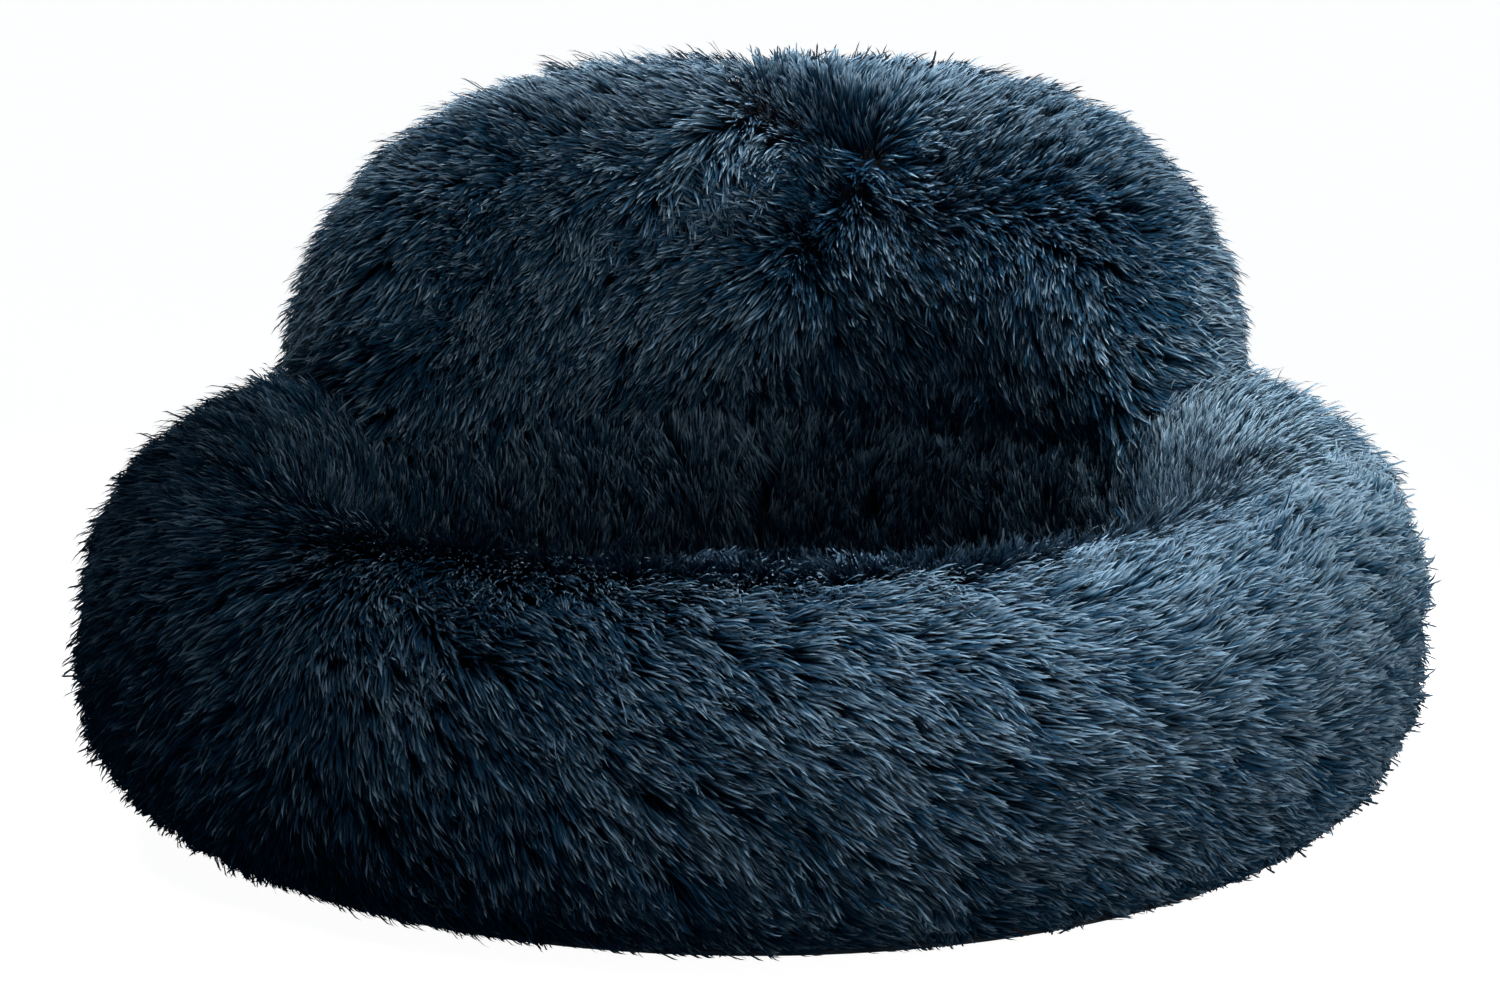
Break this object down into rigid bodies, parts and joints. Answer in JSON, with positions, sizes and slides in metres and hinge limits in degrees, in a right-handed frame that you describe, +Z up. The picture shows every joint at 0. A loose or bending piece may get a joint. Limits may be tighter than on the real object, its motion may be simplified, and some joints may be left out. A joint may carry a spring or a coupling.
{
  "type": "donut pet bed",
  "caption": "Round pet bed with a long-pile fur bolster ring, a half-moon backrest, a sunken seat pad and a zipped non-slip base.",
  "frame": {"origin": "on the floor under the centre of the bolster ring", "axes": "+Z up, +Y towards the backrest, so that the nest opens towards -Y; +X to the right seen from the open side"},
  "size_m": [0.9, 0.9, 0.4346],
  "materials": {
    "shag_fur": "matte",
    "short_plush": "matte",
    "liner_cloth": "matte",
    "fibre_filling": "matte",
    "base_cloth": "matte",
    "zip_tape": "matte",
    "zip_teeth": "satin",
    "zip_metal": "satin"
  },
  "bodies": {
    "bed": {"base_panel": "base_cloth", "base_seam_binding": "zip_tape", "zip_tape_lower": "zip_tape", "zip_tape_upper": "zip_tape", "zip_teeth_lower": "zip_teeth", "zip_teeth_upper": "zip_teeth", "zip_top_stop_lower": "zip_metal", "zip_top_stop_upper": "zip_metal", "zip_bottom_stop": "zip_metal", "ring_cover": "shag_fur", "ring_liner_upper": "liner_cloth", "ring_liner_lower": "liner_cloth", "ring_filling": "fibre_filling", "backrest_cover": "shag_fur", "backrest_liner_upper": "liner_cloth", "backrest_liner_base": "liner_cloth", "backrest_filling": "fibre_filling", "seat_cover": "short_plush", "seat_filling": "fibre_filling", "seat_underlay": "liner_cloth"},
    "slider": {"zip_slider": "zip_metal"},
    "pull": {"zip_pull": "zip_metal"}
  },
  "joints": [
    {"name": "zip_slide", "type": "hinge", "parent": "bed", "child": "slider", "pos_m": [0, 0, 0], "axis": [0, 0, 1], "range_deg": [0, 54], "deforming": ["zip_teeth_lower", "zip_teeth_upper"]},
    {"name": "pull_swing", "type": "hinge", "parent": "slider", "child": "pull", "pos_m": [0.19029, 0.37245, 0.01997], "axis": [-0.3181, -0.6227, -0.7149], "range_deg": [0, 180]}
  ]
}
